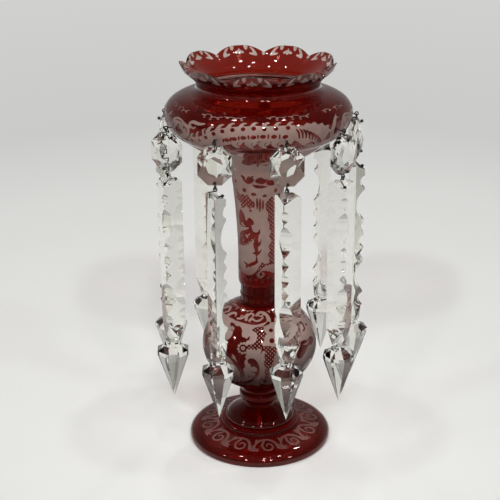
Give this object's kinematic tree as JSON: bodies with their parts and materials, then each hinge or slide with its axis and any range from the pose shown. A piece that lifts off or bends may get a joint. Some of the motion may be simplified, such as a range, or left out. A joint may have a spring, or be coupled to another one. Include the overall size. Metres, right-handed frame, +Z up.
{
  "type": "mantel lustre",
  "caption": "Mantel lustre: ruby flashed and engraved glass vase with a scalloped bowl, stem, knop and round foot, hung with clear cut glass spear drops that swing on wires.",
  "frame": {"origin": "centre of the foot, on the surface that it stands on", "axes": "+Z up along the axis of the stem; the picture looks along +Y, with +X to its right"},
  "size_m": [0.18, 0.1794, 0.3264],
  "materials": {
    "engraved_glass": "ruby flashed glass, engraved and frosted",
    "ruby_glass": "polished dark ruby glass",
    "cut_glass": "polished clear cut glass",
    "wire": "blackened wire"
  },
  "bodies": {
    "vase": {"foot": "ruby_glass", "foot_collar": "ruby_glass", "knop": "engraved_glass", "stem_collar": "ruby_glass", "stem": "engraved_glass", "bowl": "engraved_glass"},
    "hook_1": {"hook_1": "wire"},
    "button_1": {"button_1": "cut_glass", "button_pins_1": "wire"},
    "prism_1": {"prism_1": "cut_glass", "prism_pin_1": "wire"},
    "hook_2": {"hook_2": "wire"},
    "button_2": {"button_2": "cut_glass", "button_pins_2": "wire"},
    "prism_2": {"prism_2": "cut_glass", "prism_pin_2": "wire"},
    "hook_3": {"hook_3": "wire"},
    "button_3": {"button_3": "cut_glass", "button_pins_3": "wire"},
    "prism_3": {"prism_3": "cut_glass", "prism_pin_3": "wire"},
    "hook_4": {"hook_4": "wire"},
    "button_4": {"button_4": "cut_glass", "button_pins_4": "wire"},
    "prism_4": {"prism_4": "cut_glass", "prism_pin_4": "wire"},
    "hook_5": {"hook_5": "wire"},
    "button_5": {"button_5": "cut_glass", "button_pins_5": "wire"},
    "prism_5": {"prism_5": "cut_glass", "prism_pin_5": "wire"},
    "hook_6": {"hook_6": "wire"},
    "button_6": {"button_6": "cut_glass", "button_pins_6": "wire"},
    "prism_6": {"prism_6": "cut_glass", "prism_pin_6": "wire"},
    "hook_7": {"hook_7": "wire"},
    "button_7": {"button_7": "cut_glass", "button_pins_7": "wire"},
    "prism_7": {"prism_7": "cut_glass", "prism_pin_7": "wire"},
    "hook_8": {"hook_8": "wire"},
    "button_8": {"button_8": "cut_glass", "button_pins_8": "wire"},
    "prism_8": {"prism_8": "cut_glass", "prism_pin_8": "wire"},
    "hook_9": {"hook_9": "wire"},
    "button_9": {"button_9": "cut_glass", "button_pins_9": "wire"},
    "prism_9": {"prism_9": "cut_glass", "prism_pin_9": "wire"}
  },
  "joints": [
    {"name": "hook_1_turn", "type": "hinge", "parent": "vase", "child": "hook_1", "pos_m": [0.02084, -0.07516, 0.2819], "axis": [0.2672, -0.9636, 0], "range_deg": [-7, 7]},
    {"name": "button_1_swing", "type": "hinge", "parent": "hook_1", "child": "button_1", "pos_m": [0.02084, -0.07516, 0.2819], "axis": [-0.9636, -0.2672, 0], "range_deg": [-3, 45]},
    {"name": "prism_1_swing", "type": "hinge", "parent": "button_1", "child": "prism_1", "pos_m": [0.02084, -0.07516, 0.2464], "axis": [-0.9636, -0.2672, 0], "range_deg": [-2.5, 30]},
    {"name": "hook_2_turn", "type": "hinge", "parent": "vase", "child": "hook_2", "pos_m": [0.06428, -0.04418, 0.2819], "axis": [0.8241, -0.5664, 0], "range_deg": [-7, 7]},
    {"name": "button_2_swing", "type": "hinge", "parent": "hook_2", "child": "button_2", "pos_m": [0.06428, -0.04418, 0.2819], "axis": [-0.5664, -0.8241, 0], "range_deg": [-3, 45]},
    {"name": "prism_2_swing", "type": "hinge", "parent": "button_2", "child": "prism_2", "pos_m": [0.06428, -0.04418, 0.2464], "axis": [-0.5664, -0.8241, 0], "range_deg": [-2.5, 30]},
    {"name": "hook_3_turn", "type": "hinge", "parent": "vase", "child": "hook_3", "pos_m": [0.07764, 0.00748, 0.2819], "axis": [0.9954, 0.0958, 0], "range_deg": [-7, 7]},
    {"name": "button_3_swing", "type": "hinge", "parent": "hook_3", "child": "button_3", "pos_m": [0.07764, 0.00748, 0.2819], "axis": [0.0958, -0.9954, 0], "range_deg": [-3, 45]},
    {"name": "prism_3_swing", "type": "hinge", "parent": "button_3", "child": "prism_3", "pos_m": [0.07764, 0.00748, 0.2464], "axis": [0.0958, -0.9954, 0], "range_deg": [-2.5, 30]},
    {"name": "hook_4_turn", "type": "hinge", "parent": "vase", "child": "hook_4", "pos_m": [0.05467, 0.05563, 0.2819], "axis": [0.7009, 0.7133, 0], "range_deg": [-7, 7]},
    {"name": "button_4_swing", "type": "hinge", "parent": "hook_4", "child": "button_4", "pos_m": [0.05467, 0.05563, 0.2819], "axis": [0.7133, -0.7009, 0], "range_deg": [-3, 45]},
    {"name": "prism_4_swing", "type": "hinge", "parent": "button_4", "child": "prism_4", "pos_m": [0.05467, 0.05563, 0.2464], "axis": [0.7133, -0.7009, 0], "range_deg": [-2.5, 30]},
    {"name": "hook_5_turn", "type": "hinge", "parent": "vase", "child": "hook_5", "pos_m": [0.00612, 0.07776, 0.2819], "axis": [0.0785, 0.9969, 0], "range_deg": [-7, 7]},
    {"name": "button_5_swing", "type": "hinge", "parent": "hook_5", "child": "button_5", "pos_m": [0.00612, 0.07776, 0.2819], "axis": [0.9969, -0.0785, 0], "range_deg": [-3, 45]},
    {"name": "prism_5_swing", "type": "hinge", "parent": "button_5", "child": "prism_5", "pos_m": [0.00612, 0.07776, 0.2464], "axis": [0.9969, -0.0785, 0], "range_deg": [-2.5, 30]},
    {"name": "hook_6_turn", "type": "hinge", "parent": "vase", "child": "hook_6", "pos_m": [-0.04529, 0.0635, 0.2819], "axis": [-0.5807, 0.8141, 0], "range_deg": [-7, 7]},
    {"name": "button_6_swing", "type": "hinge", "parent": "hook_6", "child": "button_6", "pos_m": [-0.04529, 0.0635, 0.2819], "axis": [0.8141, 0.5807, 0], "range_deg": [-3, 45]},
    {"name": "prism_6_swing", "type": "hinge", "parent": "button_6", "child": "prism_6", "pos_m": [-0.04529, 0.0635, 0.2464], "axis": [0.8141, 0.5807, 0], "range_deg": [-2.5, 30]},
    {"name": "hook_7_turn", "type": "hinge", "parent": "vase", "child": "hook_7", "pos_m": [-0.07552, 0.01953, 0.2819], "axis": [-0.9681, 0.2504, 0], "range_deg": [-7, 7]},
    {"name": "button_7_swing", "type": "hinge", "parent": "hook_7", "child": "button_7", "pos_m": [-0.07552, 0.01953, 0.2819], "axis": [0.2504, 0.9681, 0], "range_deg": [-3, 45]},
    {"name": "prism_7_swing", "type": "hinge", "parent": "button_7", "child": "prism_7", "pos_m": [-0.07552, 0.01953, 0.2464], "axis": [0.2504, 0.9681, 0], "range_deg": [-2.5, 30]},
    {"name": "hook_8_turn", "type": "hinge", "parent": "vase", "child": "hook_8", "pos_m": [-0.0704, -0.03358, 0.2819], "axis": [-0.9026, -0.4305, 0], "range_deg": [-7, 7]},
    {"name": "button_8_swing", "type": "hinge", "parent": "hook_8", "child": "button_8", "pos_m": [-0.0704, -0.03358, 0.2819], "axis": [-0.4305, 0.9026, 0], "range_deg": [-3, 45]},
    {"name": "prism_8_swing", "type": "hinge", "parent": "button_8", "child": "prism_8", "pos_m": [-0.0704, -0.03358, 0.2464], "axis": [-0.4305, 0.9026, 0], "range_deg": [-2.5, 30]},
    {"name": "hook_9_turn", "type": "hinge", "parent": "vase", "child": "hook_9", "pos_m": [-0.03235, -0.07098, 0.2819], "axis": [-0.4147, -0.91, 0], "range_deg": [-7, 7]},
    {"name": "button_9_swing", "type": "hinge", "parent": "hook_9", "child": "button_9", "pos_m": [-0.03235, -0.07098, 0.2819], "axis": [-0.91, 0.4147, 0], "range_deg": [-3, 45]},
    {"name": "prism_9_swing", "type": "hinge", "parent": "button_9", "child": "prism_9", "pos_m": [-0.03235, -0.07098, 0.2464], "axis": [-0.91, 0.4147, 0], "range_deg": [-2.5, 30]}
  ]
}
